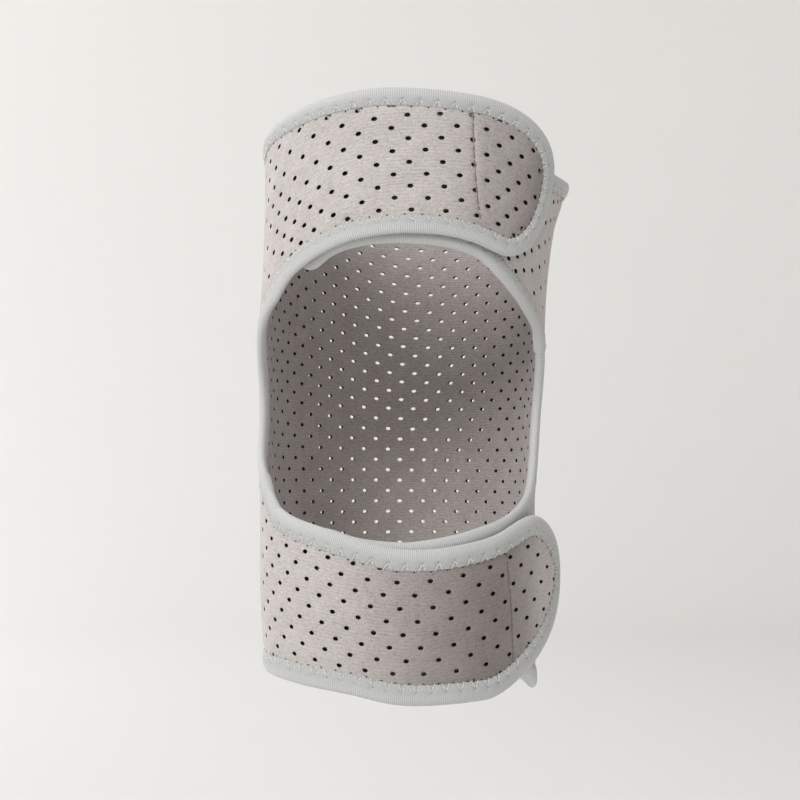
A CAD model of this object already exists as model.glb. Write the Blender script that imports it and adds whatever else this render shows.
"""Looks of a wrap-around knee support with an open kneecap, fastened as it is worn.

One cut sheet of perforated foam laminate is wrapped into a tube. Its left wings cross the front over the right
ones and end in rounded tabs. A ribbed stretch tape binds the whole edge, zigzag-stitched, in two runs. Every
piece is worked out on the flat cut of the sheet, at an angle round the tube and a height along it, and is then
laid on the worn form. Sizes are in millimetres, as in the part's source, and become metres only when a mesh is
made.
"""

import logging
import math
from dataclasses import dataclass
from enum import Enum, IntEnum
from functools import cached_property

import bpy
import numpy as np
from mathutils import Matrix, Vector
from mathutils.geometry import delaunay_2d_cdt


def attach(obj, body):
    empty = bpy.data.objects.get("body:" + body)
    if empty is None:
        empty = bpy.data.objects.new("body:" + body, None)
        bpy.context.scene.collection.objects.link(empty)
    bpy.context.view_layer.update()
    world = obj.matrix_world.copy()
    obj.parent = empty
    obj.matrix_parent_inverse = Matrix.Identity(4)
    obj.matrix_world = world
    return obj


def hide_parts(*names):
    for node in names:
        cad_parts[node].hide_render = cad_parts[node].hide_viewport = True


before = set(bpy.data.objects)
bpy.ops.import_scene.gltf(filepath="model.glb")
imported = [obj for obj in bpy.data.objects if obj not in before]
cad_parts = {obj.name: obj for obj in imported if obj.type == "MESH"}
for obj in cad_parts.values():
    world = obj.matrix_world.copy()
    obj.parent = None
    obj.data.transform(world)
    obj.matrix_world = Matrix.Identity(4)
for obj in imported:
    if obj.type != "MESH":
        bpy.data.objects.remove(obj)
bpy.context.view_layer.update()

log = logging.getLogger("knee_support")

Array = np.ndarray
Row = tuple[float, ...]
Table = tuple[Row, ...]
Stops = tuple[tuple[float, str], ...]
Material = bpy.types.Material
Node = bpy.types.Node
Socket = bpy.types.NodeSocket
Tree = bpy.types.NodeTree
Piece = bpy.types.Object

MM = 0.001
CAD_BODY = "root"
# Places handled at once where each is set against many others, to spare memory
CHUNK = 400
# Stands for the rise of a level step of the edge, so that nothing is divided by 0
NO_RISE = 1e-9
# The wave texture runs through 20 radians to a unit, so this scale gives one band to a unit
WAVE_SCALE = math.tau / 20


def read_table(rows: Table, column: int, at: Array) -> Array:
    """Reads a table between its rows by a cubic, sloped at each row as from the row before to the row after.

    Args:
        rows: rows whose first number is the place.
        column: the column to read.
        at: places to read at. Places outside the table take its end rows.

    Returns:
        The values, shaped as `at`.
    """
    table = np.array(rows, float)
    places, values = table[:, 0], table[:, column]
    before = np.maximum(np.arange(len(places)) - 1, 0)
    after = np.minimum(np.arange(len(places)) + 1, len(places) - 1)
    slopes = (values[after] - values[before]) / (places[after] - places[before])
    x = np.clip(np.asarray(at, float), places[0], places[-1])
    i = np.clip(np.searchsorted(places, x) - 1, 0, len(places) - 2)
    span = places[i + 1] - places[i]
    t = (x - places[i]) / span
    ease = t * t * (3 - 2 * t)
    leave = t * (1 - t) ** 2 * span * slopes[i]
    arrive = t * t * (t - 1) * span * slopes[i + 1]
    return values[i] + (values[i + 1] - values[i]) * ease + leave + arrive


def smoothstep(x: Array, low: float, high: float) -> Array:
    """The smooth step 3t^2 - 2t^3 from 0 at `low` to 1 at `high`."""
    t = np.clip((np.asarray(x, float) - low) / (high - low), 0, 1)
    return t * t * (3 - 2 * t)


def bell(x: Array, middle: Array | float, width: float) -> Array:
    """The bell curve exp(-((x - middle) / width)^2)."""
    return np.exp(-(((np.asarray(x, float) - middle) / width) ** 2))


def unit(rows: Array) -> Array:
    """Rows scaled to unit length."""
    return rows / np.linalg.norm(rows, axis=1, keepdims=True)


def path_length(points: Array) -> Array:
    """The length of a path up to each of its points."""
    return np.concatenate([[0], np.cumsum(np.linalg.norm(np.diff(points, axis=0), axis=1))])


def in_chunks(places: Array) -> list[Array]:
    """Flat places in chunks, each small enough to be set against many others at once."""
    return np.array_split(places, max(1, len(places) // CHUNK))


def to_nearest(places: Array, marks: Array) -> Array:
    """The distance of each flat place from the nearest of some marks."""
    squares = [((chunk[:, None, :] - marks[None]) ** 2).sum(axis=2).min(axis=1) for chunk in in_chunks(places)]
    return np.sqrt(np.concatenate(squares))


def quads(rings: Array, closed: bool) -> Array:
    """Quads between neighbouring rings of point numbers.

    Args:
        rings: point numbers, one row to a ring.
        closed: whether each ring's end joins its start.

    Returns:
        Four point numbers to a quad.
    """
    beside = np.roll(rings, -1, axis=1)
    here, there = (rings, beside) if closed else (rings[:, :-1], rings[:, 1:])
    return np.stack([here[:-1], there[:-1], there[1:], here[1:]], axis=2).reshape(-1, 4)


def halves(four: Array) -> Array:
    """The two triangles of each quad."""
    return np.vstack([four[:, [0, 1, 2]], four[:, [0, 2, 3]]])


class Layer(Enum):
    """Which of the two layers a wing lies in where the wings cross: the left ones over, the right ones under."""

    OVER = 1
    UNDER = -1


@dataclass(frozen=True)
class Standoff:
    """How far a tab stands off the layer under it, and the angles over which it leaves it."""

    reach: float
    start: float
    end: float

    def at(self, angle: Array) -> Array:
        """How far the tab stands off at angles."""
        return self.reach * smoothstep(angle, self.start, self.end)


@dataclass(frozen=True)
class WornForm:
    """The form that the wrap takes: ovals on a bent axis, and the rise of the left wings over the right ones."""

    sheet: float = 2.4
    lift: float = 4.8
    lift_start: float = 84.0
    lift_end: float = 127.0
    upper_tab: Standoff = Standoff(1.5, 204, 234)
    lower_tab: Standoff = Standoff(5.0, 222, 258)
    flare: float = 2.2
    flare_angle: float = -97.0
    flare_width: float = 20.0
    flare_heights: Row = (74.0, 96.0)
    axis_height: float = 250.0
    axis_low: Row = (1.0, 1.5, -125.0)
    axis_pull: Row = (-5.5, -9.25, 0.0)
    axis_high: Row = (8.6, 17.0, 125.0)
    oval_power: float = 2.2
    # height, half width, half depth
    sections: Table = (
        (-130, 52.3, 52), (-85, 54.4, 55), (-40, 54.2, 56), (-10, 55.2, 59), (20, 56.6, 60),
        (50, 56.6, 60), (75, 58.0, 60), (100, 60.8, 62), (125, 63.5, 64),
    )

    def radius(self, angle: Array, height: Array) -> Array:
        """The oval's radius (|sin/width|^p + |cos/depth|^p)^(-1/p).

        Args:
            angle: degrees round the axis.
            height: millimetres along the axis.

        Returns:
            Radii in millimetres.
        """
        turn = np.radians(angle)
        width, depth = (read_table(self.sections, column, height) for column in (1, 2))
        across = np.abs(np.sin(turn) / width) ** self.oval_power
        through = np.abs(np.cos(turn) / depth) ** self.oval_power
        return (across + through) ** (-1 / self.oval_power)

    def rise(self, angle: Array, height: Array) -> Array:
        """How far the left wings ride out over the right ones, their tabs a little more, and how far the upper
        edge flares out at the right.

        Args:
            angle: degrees round the axis.
            height: millimetres along the axis.

        Returns:
            Millimetres out from the oval.
        """
        stand = np.where(np.asarray(height) > 0, self.upper_tab.at(angle), self.lower_tab.at(angle))
        flare = self.flare * bell(angle, self.flare_angle, self.flare_width)
        flare = flare * smoothstep(height, *self.flare_heights)
        return smoothstep(angle, self.lift_start, self.lift_end) * (self.lift + stand) + flare

    def place(self, angle: Array, height: Array, depth: Array) -> Array:
        """Lays places of the flat cut on the form.

        The axis is the quadratic curve through its low and high ends, drawn to its pull point. A place goes out
        from the axis, square to it, by the oval's radius, the wings' rise and the depth from the sheet's inner
        face.

        Args:
            angle: degrees round the axis. 0 is the back and 180 the front.
            height: millimetres along the axis.
            depth: millimetres out from the sheet's inner face.

        Returns:
            Points in millimetres, one row each.
        """
        t = (np.asarray(height, float) / self.axis_height + 0.5)[:, None]
        low, pull, high = (np.array(p) for p in (self.axis_low, self.axis_pull, self.axis_high))
        middle = (1 - t) ** 2 * low + 2 * t * (1 - t) * pull + t**2 * high
        up = unit(2 * (1 - t) * (pull - low) + 2 * t * (high - pull))
        back = unit(np.array([0.0, 1.0, 0.0]) - up * up[:, 1:2])
        left = np.cross(up, back)
        turn = np.radians(angle)[:, None]
        reach = (self.radius(angle, height) + self.rise(angle, height) + depth)[:, None]
        return middle + reach * (back * np.cos(turn) + left * np.sin(turn))


@dataclass(frozen=True)
class WingEdge:
    """One edge of a wing: rows of angle and height, and the oval by which it closes on the tip."""

    rows: Table
    close_from: float
    close_power: float


@dataclass(frozen=True)
class Wing:
    """One of the four wings: its two cut edges and its rounded tip. The inner edge borders the opening."""

    layer: Layer
    tip: float
    tip_height: float
    outer: WingEdge
    inner: WingEdge
    edge_steps: int = 160
    tip_crowding: float = 0.8

    def heights(self, edge: WingEdge, angle: Array) -> Array:
        """One edge's heights: its table, closing on the tip by the oval (1 - run^p)^(1/p).

        Args:
            edge: the wing's outer or inner edge.
            angle: degrees on the left side, for a right wing too.

        Returns:
            Heights in millimetres.
        """
        run = np.clip((angle - edge.close_from) / (self.tip - edge.close_from), 0, 1)
        closing = (1 - run**edge.close_power) ** (1 / edge.close_power)
        return self.tip_height + (read_table(edge.rows, 1, angle) - self.tip_height) * closing

    def _places(self, edge: WingEdge) -> Array:
        """One edge as (angle, height) places from root to tip, close together at the tip.

        Args:
            edge: the wing's outer or inner edge.

        Returns:
            Places on the left side's angles.
        """
        share = np.sin(np.linspace(0, math.pi / 2, self.edge_steps)) ** self.tip_crowding
        root = edge.rows[0][0]
        angle = root + (self.tip - root) * share
        return np.column_stack([angle, self.heights(edge, angle)])

    def border(self) -> Array:
        """The wing's edge as (angle, height) places, from its root along the inner edge, round the tip, and back.

        Returns:
            The places. A wing of the under layer is turned to negative angles.
        """
        places = np.vstack([self._places(self.inner), self._places(self.outer)[-2::-1]])
        places[:, 0] *= self.layer.value
        return places


UPPER_LEFT = Wing(
    layer=Layer.OVER,
    tip=233.4,
    tip_height=84,
    outer=WingEdge(
        ((0, 98), (90, 96), (124, 100.5), (147, 105.7), (166, 109), (192, 110.2), (240, 110.2)), 196, 2.3
    ),
    inner=WingEdge(
        (
            (127, 34), (131, 38.6), (135, 42.4), (140, 45.6), (147, 49.4), (156, 53.5),
            (166, 56.3), (178, 58.2), (192, 58.6), (203, 57.2), (215, 54.2), (240, 54.2),
        ), 214, 2,
    ),
)
UPPER_RIGHT = Wing(
    layer=Layer.UNDER,
    tip=233,
    tip_height=75,
    outer=WingEdge(
        (
            (0, 98), (84, 96.5), (96, 95.5), (106, 93.5), (124, 93),
            (134, 99), (147, 102.5), (166, 105), (192, 105.5), (240, 104),
        ), 205, 2,
    ),
    inner=WingEdge(
        (
            (124.3, 34), (130, 37.7), (137, 42.2), (145, 47.4), (150, 50.6), (156, 53.2),
            (166, 55), (178, 55.4), (192, 54.6), (203, 52.5), (210, 50), (218, 45.5), (240, 45.5),
        ), 218, 2,
    ),
)
LOWER_LEFT = Wing(
    layer=Layer.OVER,
    tip=259.2,
    tip_height=-70,
    outer=WingEdge(
        (
            (0, -114), (90, -107.5), (122, -107), (142, -108.7),
            (159, -111), (178, -115.3), (200, -116.3), (262, -116.3),
        ), 212, 1.6,
    ),
    inner=WingEdge(
        (
            (129, -44.3), (134.5, -46.8), (140, -48.6), (149.5, -51.1), (159, -53.8), (168, -56.4),
            (178, -59), (191, -59.4), (205, -57.7), (218, -54.7), (236, -47.9), (262, -47.9),
        ), 236, 1.6,
    ),
)
LOWER_RIGHT = Wing(
    layer=Layer.UNDER,
    tip=233,
    tip_height=-84,
    outer=WingEdge(
        (
            (0, -114), (40, -119.5), (62, -122.5), (84, -123.5), (98, -120.5),
            (112, -114), (126, -110.5), (151, -109), (178, -108), (240, -107),
        ), 206, 2,
    ),
    inner=WingEdge(
        (
            (122.8, -44.3), (134.7, -48.9), (145.6, -51.7), (156, -54.2), (168, -56.2),
            (178, -57.1), (191, -56.2), (199, -54.9), (208, -52.4), (216, -51.6), (240, -51.6),
        ), 216, 2,
    ),
)


class Course(IntEnum):
    """The columns of a grain's table, after the angle."""

    RISE = 1
    DRIFT = 2
    SPREAD = 3
    SHEAR = 4


@dataclass(frozen=True)
class Grain:
    """The lie of the knit on one band: its hole rows, and how they bend towards the front."""

    row_step: float
    middle_row: int
    first_height: float
    # angle, rise of the rows, drift of the columns, spread of the rows, shear of the columns
    course: Table
    radius: float = 66.0

    def rise(self, angle: Array) -> Array:
        """How far the rows have risen, in millimetres, at angles on either side."""
        return read_table(self.course, Course.RISE, np.abs(angle))

    def holes(self, column: Array, row: Array, step: float) -> tuple[Array, Array]:
        """Angles and heights of holes by column and row.

        A column stands at its number of steps round the axis plus the drift, sheared by its height across the
        band. A row stands at the middle row's height plus the rise, and the rows beside it at the spread row step.

        Args:
            column: column numbers, from 0 at the back.
            row: row numbers, from 0 at the line between the bands.
            step: millimetres between columns.

        Returns:
            Degrees round the axis, and millimetres along it.
        """
        turn = column * math.degrees(step / self.radius)
        across = (row - self.middle_row) * self.row_step
        lean = np.degrees(read_table(self.course, Course.SHEAR, turn) * across / self.radius)
        angle = turn + read_table(self.course, Course.DRIFT, turn) - lean
        spread = read_table(self.course, Course.SPREAD, angle)
        return angle, self.middle_row * self.row_step + self.rise(angle) + across * spread


UPPER_GRAIN = Grain(
    row_step=4.25,
    middle_row=10,
    first_height=1,
    course=(
        (60, 0, 0, 1, 0), (90, 0, 0.7, 1.08, 0.04), (120, 6.9, 4.4, 1.55, 0.58),
        (140, 22.3, -4.3, 1.27, 0.49), (160, 33, -9.8, 1.02, 0.18), (185, 37.2, -9.3, 1.05, 0.14),
        (210, 36.9, -8, 1.13, 0.19), (240, 23.5, -14.5, 1.37, -0.06),
    ),
)
LOWER_GRAIN = Grain(
    row_step=-4.9,
    middle_row=12,
    first_height=3,
    course=(
        (60, 0, 0, 1, 0), (90, 0, 0.1, 1, 0), (120, -10.4, 0.9, 1.02, 0.05), (150, -16.6, -1.5, 1, 0.08),
        (180, -21.4, -2.7, 0.99, 0.1), (210, -18.8, 1.8, 1.06, 0.11), (240, -9.5, 0.3, 1.16, 0.2),
    ),
)


@dataclass(frozen=True)
class FlatCut:
    """The sheet's flat cut: its closed edge, its holes, and the distance of any place from the edge.

    Flat places are millimetres: x is the angle in radians times `turn_radius`, and y the height.
    """

    turn_radius: float = 62.0
    edge_step: float = 0.55
    # steps of the edge that its direction is taken over on each side, and that a distance is taken to
    normal_reach: int = 4
    near_step: int = 3
    hole_column: float = 6.0
    hole_columns: int = 56
    hole_rows: int = 26
    hole_inset: float = 6.2
    upper_hole_inset: float = 4.9
    # a hole nearer than this to one in front of it would let light through both
    sight_line: float = 2.6
    # the height that parts the upper band's grain from the lower one's
    band_line: float = 2.0
    slope_step: float = 0.5
    side_steps: int = 120
    # height, left angle, right angle
    side_edges: Table = (
        (-44.3, 129, 122.8), (-39, 124, 113), (-33, 118.5, 106.5), (-26, 110, 101.5), (-18.5, 102, 98.5),
        (-10, 97, 96), (-2, 95.5, 95.5), (5, 97, 97), (12, 101, 100.5), (19, 107, 105),
        (25, 113.5, 110.5), (30, 120.5, 117.3), (34, 127, 124.3),
    )

    def flat(self, angle: Array, height: Array) -> Array:
        """Angles and heights as flat places."""
        return np.column_stack([np.radians(angle) * self.turn_radius, height])

    def angle(self, flat: Array) -> Array:
        """The angles, in degrees, of flat places."""
        return np.degrees(flat[..., 0] / self.turn_radius)

    def side(self, layer: Layer) -> Array:
        """One side of the opening, from one band's line to the other's: the left one downwards, the right one up.

        Args:
            layer: the layer of the wings on that side.

        Returns:
            (angle, height) places.
        """
        heights = np.linspace(self.side_edges[0][0], self.side_edges[-1][0], self.side_steps)
        column = 2
        if layer is Layer.OVER:
            heights, column = heights[::-1], 1
        return np.column_stack([layer.value * read_table(self.side_edges, column, heights), heights])

    @cached_property
    def edge(self) -> Array:
        """The closed cut edge at even steps, with the sheet on its right hand: up the right side of the opening,
        round the upper wings, down the left side and round the lower wings."""
        runs = (
            self.side(Layer.UNDER),
            UPPER_RIGHT.border(),
            UPPER_LEFT.border()[::-1],
            self.side(Layer.OVER),
            LOWER_LEFT.border(),
            LOWER_RIGHT.border()[::-1],
        )
        places = np.vstack([run[:-1] for run in runs])
        corners = self.flat(places[:, 0], places[:, 1])
        loop = np.vstack([corners, corners[:1]])
        run = path_length(loop)
        even = np.linspace(0, run[-1], int(run[-1] / self.edge_step), endpoint=False)
        return np.column_stack([np.interp(even, run, loop[:, 0]), np.interp(even, run, loop[:, 1])])

    @cached_property
    def edge_normal(self) -> Array:
        """Unit directions from the edge into the sheet, evened out over a few steps round the corners."""
        reach = self.normal_reach
        course = unit(np.roll(self.edge, -reach, axis=0) - np.roll(self.edge, reach, axis=0))
        return np.column_stack([course[:, 1], -course[:, 0]])

    def inset(self, places: Array) -> Array:
        """The distance of flat places from the cut edge, taken to the nearest of its coarser steps."""
        return to_nearest(places, self.edge[:: self.near_step])

    def inside(self, places: Array) -> Array:
        """Whether flat places are within the cut edge, by counting its crossings to one side.

        Args:
            places: flat places.

        Returns:
            True for each place that is inside.
        """
        a, b = self.edge, np.roll(self.edge, -1, axis=0)
        run, rise = (b - a).T
        rise = np.where(rise == 0, NO_RISE, rise)
        found = []
        for chunk in in_chunks(places):
            x, y = chunk[:, :1], chunk[:, 1:]
            spans = (a[None, :, 1] > y) != (b[None, :, 1] > y)
            crossing = a[None, :, 0] + (y - a[None, :, 1]) * run / rise
            found.append((spans & (x < crossing)).sum(axis=1) % 2 == 1)
        return np.concatenate(found)

    def _field(self, grain: Grain, layer: Layer) -> Array:
        """The staggered holes of one band on one side that clear the edge, where column and row add up to odd.

        Args:
            grain: the band's grain.
            layer: the layer of the wings on that side.

        Returns:
            Flat places of the holes' middles.
        """
        first = 0 if layer is Layer.OVER else 1
        column, row = np.meshgrid(np.arange(first, self.hole_columns), np.arange(self.hole_rows))
        odd = (column + row) % 2 == 1
        angle, height = grain.holes(column[odd], row[odd], self.hole_column)
        places = self.flat(layer.value * angle, height)
        places = places[np.sign(grain.row_step) * (places[:, 1] - grain.first_height) > 0]
        places = places[self.inside(places)]
        clear = np.where(places[:, 1] > self.band_line, self.upper_hole_inset, self.hole_inset)
        return places[self.inset(places) > clear]

    @cached_property
    def holes(self) -> Array:
        """The middles of the perforations. A hole of the under layer that would line up with one of the over layer
        is left out, so that no light shows through both."""
        grains = (UPPER_GRAIN, LOWER_GRAIN)
        over, under = (np.vstack([self._field(grain, layer) for grain in grains]) for layer in Layer)
        behind = under + np.array([math.tau * self.turn_radius, 0])
        return np.vstack([over, under[to_nearest(behind, over) > self.sight_line]])

    def rise(self, places: Array) -> Array:
        """The knit's rise, in millimetres, at flat places on either band."""
        angle = self.angle(places)
        return np.where(places[:, 1] > self.band_line, UPPER_GRAIN.rise(angle), LOWER_GRAIN.rise(angle))

    def slope(self, places: Array) -> Array:
        """The knit's direction at flat places, in radians from level."""
        step = np.array([self.slope_step, 0.0])
        return np.arctan2(self.rise(places + step) - self.rise(places - step), 2 * self.slope_step)

    def grain(self, places: Array) -> Array:
        """Places along and across the knit, in millimetres, so that its courses follow the bands."""
        return np.column_stack([places[:, 0], places[:, 1] - self.rise(places)])


FORM = WornForm()
CUT = FlatCut()


def linear(hex_colour: str) -> tuple[float, float, float, float]:
    """An sRGB hex colour as linear red, green, blue and alpha."""
    parts = [int(hex_colour[i : i + 2], 16) / 255 for i in (1, 3, 5)]
    return (*[c / 12.92 if c <= 0.04045 else ((c + 0.055) / 1.055) ** 2.4 for c in parts], 1.0)


def set_stops(ramp: bpy.types.ColorRamp, stops: Stops) -> None:
    """Sets a colour ramp's positions and sRGB hex colours.

    Args:
        ramp: the ramp, with the two stops that it starts with.
        stops: two or more positions, each with its colour.
    """
    for _ in range(len(stops) - 2):
        ramp.elements.new(0.5)
    for element, (position, colour) in zip(ramp.elements, stops):
        element.position = position
        element.color = linear(colour)


def add_node(tree: Tree, kind: str, settings: dict | None = None, **inputs: object) -> Node:
    """Adds a node with its settings and links.

    Args:
        tree: the material's node tree.
        kind: the node's type name.
        settings: attributes of the node itself, or `stops` for a colour ramp's positions and colours.
        **inputs: values or output sockets for its inputs, by name with _ for a space, or by number as in0.

    Returns:
        The new node.
    """
    node = tree.nodes.new(kind)
    for name, value in (settings or {}).items():
        if name == "stops":
            set_stops(node.color_ramp, value)
        else:
            setattr(node, name, value)
    for name, value in inputs.items():
        key = int(name[2:]) if name.startswith("in") and name[2:].isdigit() else name.replace("_", " ")
        if isinstance(value, Socket):
            tree.links.new(value, node.inputs[key])
        else:
            node.inputs[key].default_value = value
    return node


def on_cut(tree: Tree, along: float, across: float) -> Socket:
    """The piece's own UV map, kept in metres, scaled to a pattern's size.

    Args:
        tree: the material's node tree.
        along: millimetres to a unit along the knit, the tape or the thread.
        across: millimetres to a unit across it.

    Returns:
        The vector socket.
    """
    uv = add_node(tree, "ShaderNodeUVMap", {"uv_map": "cut"})
    scale = (1 / (along * MM), 1 / (across * MM), 1.0)
    return add_node(tree, "ShaderNodeMapping", Vector=uv.outputs["UV"], Scale=scale).outputs["Vector"]


@dataclass(frozen=True)
class Finish:
    """A material: what it is called, its shader's steady values and the depth of its relief."""

    name: str
    roughness: float
    sheen: float = 0.0
    sheen_colour: str = "#ffffff"
    sheen_roughness: float = 0.55
    ior: float = 1.5
    relief_mm: float = 0.1

    def start(self) -> tuple[Material, Tree, Node]:
        """Starts the material with its steady values.

        Returns:
            The new material, its node tree and its shader.
        """
        material = bpy.data.materials.new(self.name)
        material.use_nodes = True
        tree = material.node_tree
        shader = tree.nodes["Principled BSDF"]
        shader.inputs["Roughness"].default_value = self.roughness
        shader.inputs["IOR"].default_value = self.ior
        shader.inputs["Sheen Weight"].default_value = self.sheen
        shader.inputs["Sheen Tint"].default_value = linear(self.sheen_colour)
        shader.inputs["Sheen Roughness"].default_value = self.sheen_roughness
        return material, tree, shader

    def relief(self, tree: Tree, shader: Node, height: Socket) -> None:
        """Bumps the shader by a height from 0 to 1 that stands for the depth of the relief."""
        bump = add_node(tree, "ShaderNodeBump", Height=height, Distance=self.relief_mm * MM, Strength=1.0)
        tree.links.new(bump.outputs["Normal"], shader.inputs["Normal"])

    def pattern(self, tree: Tree, shader: Node, factor: Socket, stops: Stops) -> None:
        """Colours the shader by a pattern from 0 to 1, and bumps it by the same pattern.

        Args:
            tree: the material's node tree.
            shader: its shader.
            factor: the pattern.
            stops: positions on the pattern, with their sRGB hex colours.
        """
        colour = add_node(tree, "ShaderNodeValToRGB", {"stops": stops}, in0=factor)
        tree.links.new(colour.outputs["Color"], shader.inputs["Base Color"])
        self.relief(tree, shader, factor)


@dataclass(frozen=True)
class BrushedKnit(Finish):
    """Brushed polyester loop knit on foam: soft, matt and a little furry, with fine courses along the band.

    Where the nap lies the other way it looks darker. The mesh's own `nap` attribute says where: 1 is light and 0
    dark.
    """

    light: str = "#cdc7c5"
    middle: str = "#beb8b5"
    dark: str = "#a8a19f"
    nap_shade: str = "#a29a98"
    course_mm: float = 1.25
    # The real nap is finer than the picture can show, so its tufts are drawn 0.8 mm wide.
    fibre_mm: float = 0.8
    cloud_mm: float = 11.0
    # what each pattern adds to the shade
    band_share: float = 0.05
    course_share: float = 0.36
    fibre_share: float = 0.42
    cloud_share: float = 0.17
    relief_mm: float = 0.3

    def build(self) -> Material:
        """Builds it from wavering bands and drawn-out noise for the courses, fine noise for the nap and soft clouds.

        Returns:
            The material.
        """
        material, tree, shader = self.start()
        bands = add_node(
            tree,
            "ShaderNodeTexWave",
            {"wave_type": "BANDS", "bands_direction": "Y"},
            Vector=on_cut(tree, 4 * self.course_mm, self.course_mm),
            Scale=WAVE_SCALE,
            Distortion=5.0,
            Detail=3.0,
        )
        layers = [(bands, self.band_share)]
        # grain along and across the knit, detail, and share
        noises = (
            (1.8 * self.course_mm, 0.6 * self.course_mm, 3.0, self.course_share),
            (1.2 * self.fibre_mm, self.fibre_mm, 3.0, self.fibre_share),
            (self.cloud_mm, self.cloud_mm, 2.0, self.cloud_share),
        )
        for along, across, detail, share in noises:
            place = on_cut(tree, along, across)
            noise = add_node(tree, "ShaderNodeTexNoise", Vector=place, Scale=1.0, Detail=detail, Roughness=0.6)
            layers.append((noise, share))
        mixed = 0.0
        for layer, share in layers:
            added = add_node(
                tree, "ShaderNodeMath", {"operation": "MULTIPLY_ADD"}, in0=layer.outputs["Fac"], in1=share, in2=mixed
            )
            mixed = added.outputs["Value"]
        stops = ((0.38, self.dark), (0.5, self.middle), (0.62, self.light))
        colour = add_node(tree, "ShaderNodeValToRGB", {"stops": stops}, in0=mixed)
        nap = add_node(tree, "ShaderNodeAttribute", {"attribute_name": "nap"})
        lay = add_node(tree, "ShaderNodeMapRange", Value=nap.outputs["Fac"], To_Min=1.0, To_Max=0.0)
        brushed = add_node(
            tree,
            "ShaderNodeMix",
            {"data_type": "RGBA", "blend_type": "MULTIPLY"},
            in0=lay.outputs["Result"],
            in6=colour.outputs["Color"],
            in7=linear(self.nap_shade),
        )
        tree.links.new(brushed.outputs[2], shader.inputs["Base Color"])
        self.relief(tree, shader, mixed)
        return material


@dataclass(frozen=True)
class FoamCore(Finish):
    """Closed-cell black foam rubber, cut: the dead black that shows in the perforations."""

    colour: str = "#0d0c0c"
    shade: str = "#171615"
    cell_mm: float = 0.4

    def build(self) -> Material:
        """Builds it from fine cells over black.

        Returns:
            The material.
        """
        material, tree, shader = self.start()
        place = add_node(tree, "ShaderNodeTexCoord").outputs["Object"]
        cells = add_node(tree, "ShaderNodeTexVoronoi", Vector=place, Scale=1 / (self.cell_mm * MM))
        stops = ((0.0, self.shade), (0.6, self.colour))
        self.pattern(tree, shader, cells.outputs["Distance"], stops)
        return material


@dataclass(frozen=True)
class RibbedTape(Finish):
    """Knitted polyester stretch tape: cool light grey, close cross ribs and a faint sheen."""

    light: str = "#cfd0d0"
    middle: str = "#c1c2c2"
    dark: str = "#aaabab"
    # The real ribs are about 0.65 mm apart, nearly too close to show, so they are drawn 0.8 mm apart.
    rib_mm: float = 0.8
    rib_waver_mm: float = 6.0
    yarn_mm: float = 0.5
    yarn_share: float = 0.55
    # The ribs open where the tape is stretched round the fold, and lie close on its flat face: the distances across
    # the tape where the one ends and the other starts, and the ribs' share in each.
    flat_mm: float = 3.0
    fold_mm: float = 6.0
    flat_rib_share: float = 0.12
    fold_rib_share: float = 0.5

    def build(self) -> Material:
        """Builds it from ribs square to the edge, roughened by yarn noise.

        Returns:
            The material.
        """
        material, tree, shader = self.start()
        ribs = add_node(
            tree,
            "ShaderNodeTexWave",
            {"wave_type": "BANDS", "bands_direction": "X", "wave_profile": "SIN"},
            Vector=on_cut(tree, self.rib_mm, self.rib_waver_mm),
            Scale=WAVE_SCALE,
            Distortion=0.5,
            Detail=1.0,
        )
        across = add_node(tree, "ShaderNodeSeparateXYZ", Vector=on_cut(tree, 1.0, 1.0))
        fold = add_node(
            tree,
            "ShaderNodeMapRange",
            Value=across.outputs["Y"],
            From_Min=self.flat_mm,
            From_Max=self.fold_mm,
            To_Min=self.flat_rib_share,
            To_Max=self.fold_rib_share,
        )
        grain = on_cut(tree, self.yarn_mm, 2 * self.yarn_mm)
        yarn = add_node(tree, "ShaderNodeTexNoise", Vector=grain, Scale=1.0, Detail=3.0)
        ground = add_node(
            tree, "ShaderNodeMath", {"operation": "MULTIPLY"}, in0=yarn.outputs["Fac"], in1=self.yarn_share
        )
        mixed = add_node(
            tree,
            "ShaderNodeMath",
            {"operation": "MULTIPLY_ADD"},
            in0=ribs.outputs["Fac"],
            in1=fold.outputs["Result"],
            in2=ground.outputs["Value"],
        )
        stops = ((0.2, self.dark), (0.5, self.middle), (0.8, self.light))
        self.pattern(tree, shader, mixed.outputs["Value"], stops)
        return material


@dataclass(frozen=True)
class HookTape(Finish):
    """Woven nylon hook tape: rows of tiny hooks, stiff and dull grey."""

    tip: str = "#a5a09c"
    colour: str = "#86817d"
    ground: str = "#5d5956"
    row_mm: float = 1.2
    # negative, because the hooks stand up at the middles of the cells
    relief_mm: float = -0.5

    def build(self) -> Material:
        """Builds it from a grid of hook tips over a woven ground.

        Returns:
            The material.
        """
        material, tree, shader = self.start()
        place = on_cut(tree, self.row_mm, self.row_mm)
        hooks = add_node(tree, "ShaderNodeTexVoronoi", Vector=place, Scale=1.0, Randomness=0.25)
        stops = ((0.0, self.tip), (0.5, self.colour), (0.8, self.ground))
        self.pattern(tree, shader, hooks.outputs["Distance"], stops)
        return material


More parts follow.
